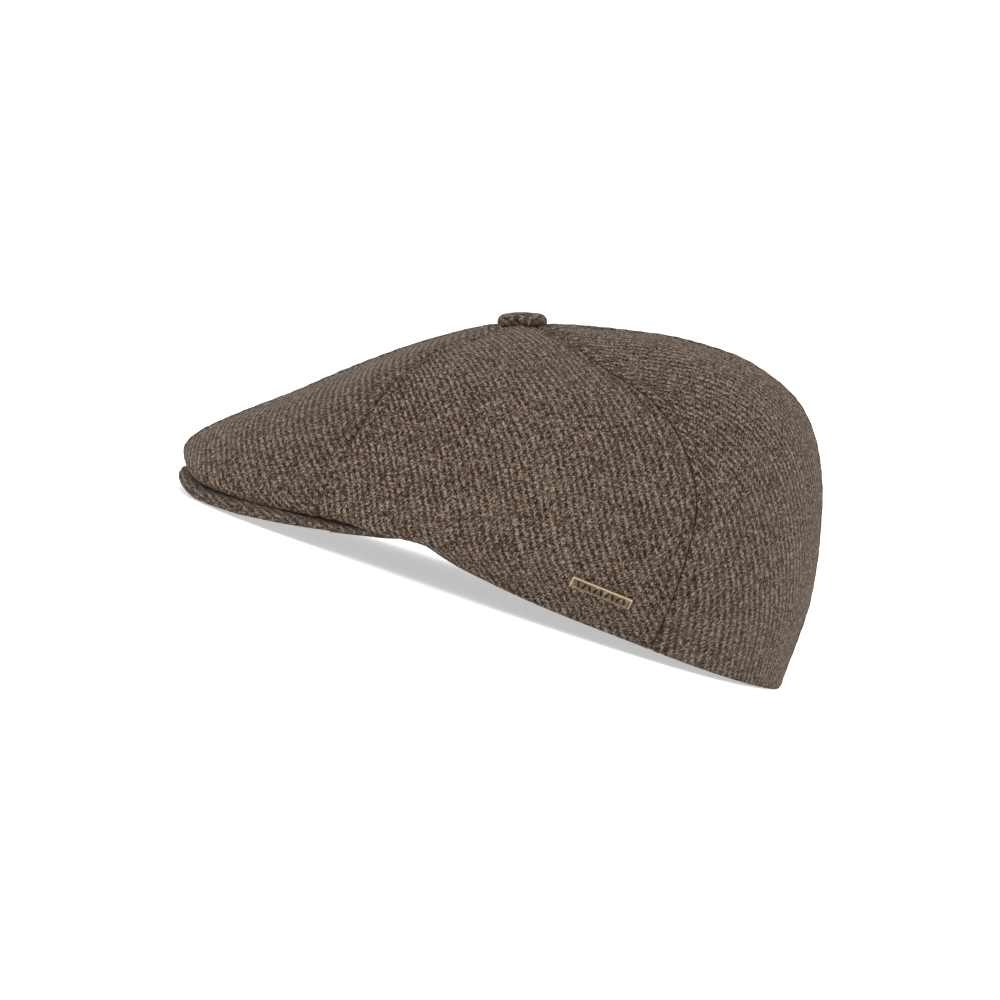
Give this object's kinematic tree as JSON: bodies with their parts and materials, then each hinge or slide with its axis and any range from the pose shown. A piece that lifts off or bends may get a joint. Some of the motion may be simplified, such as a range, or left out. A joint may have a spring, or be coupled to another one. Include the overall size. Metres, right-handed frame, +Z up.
{
  "type": "newsboy cap",
  "caption": "Soft wool tweed newsboy cap with seamed crown panels pulled over a short stiff peak, cloth-covered top button, satin lining and sweatband",
  "frame": {"origin": "centre of the bounding box on the surface the cap rests on", "axes": "+X to the front, where the peak is; +Y to the wearer's left; +Z up; the cap rests on its peak and on the back of its hem, so the head opening is tipped up 4 degrees at the front"},
  "size_m": [0.2674, 0.186, 0.1256],
  "materials": {
    "tweed": "brown and beige wool twill tweed, matt with a slight nap",
    "lining_satin": "dark brown satin, low sheen",
    "sweatband_cotton": "dark brown cotton twill tape",
    "stay_tape": "stiff woven buckram",
    "board": "moulded plastic peak board",
    "thread": "dark brown sewing thread",
    "button_metal": "plain tinplate",
    "badge_brass": "antique brass, dark in the recess and polished on the edges"
  },
  "bodies": {
    "root": {"badge_backing": "badge_brass", "badge_plate": "badge_brass", "badge_prongs": "badge_brass", "button_back_plate": "button_metal", "button_cloth_cover": "tweed", "button_shank": "button_metal", "button_shell": "button_metal", "button_washer": "button_metal", "crown_panel_front_left": "tweed", "crown_panel_front_right": "tweed", "crown_panel_rear_left": "tweed", "crown_panel_rear_right": "tweed", "crown_panel_side_left": "tweed", "crown_panel_side_right": "tweed", "head_stay_band": "stay_tape", "lining_front_left": "lining_satin", "lining_front_right": "lining_satin", "lining_rear_left": "lining_satin", "lining_rear_right": "lining_satin", "lining_side_left": "lining_satin", "lining_side_right": "lining_satin", "peak_board": "board", "peak_under_cloth": "tweed", "peak_upper_cloth": "tweed", "sweatband": "sweatband_cotton", "sweatband_join_tape": "sweatband_cotton", "topstitch_back_seam": "thread", "topstitch_front_left": "thread", "topstitch_front_right": "thread", "topstitch_front_seam": "thread", "topstitch_rear_left": "thread", "topstitch_rear_right": "thread"}
  },
  "joints": []
}
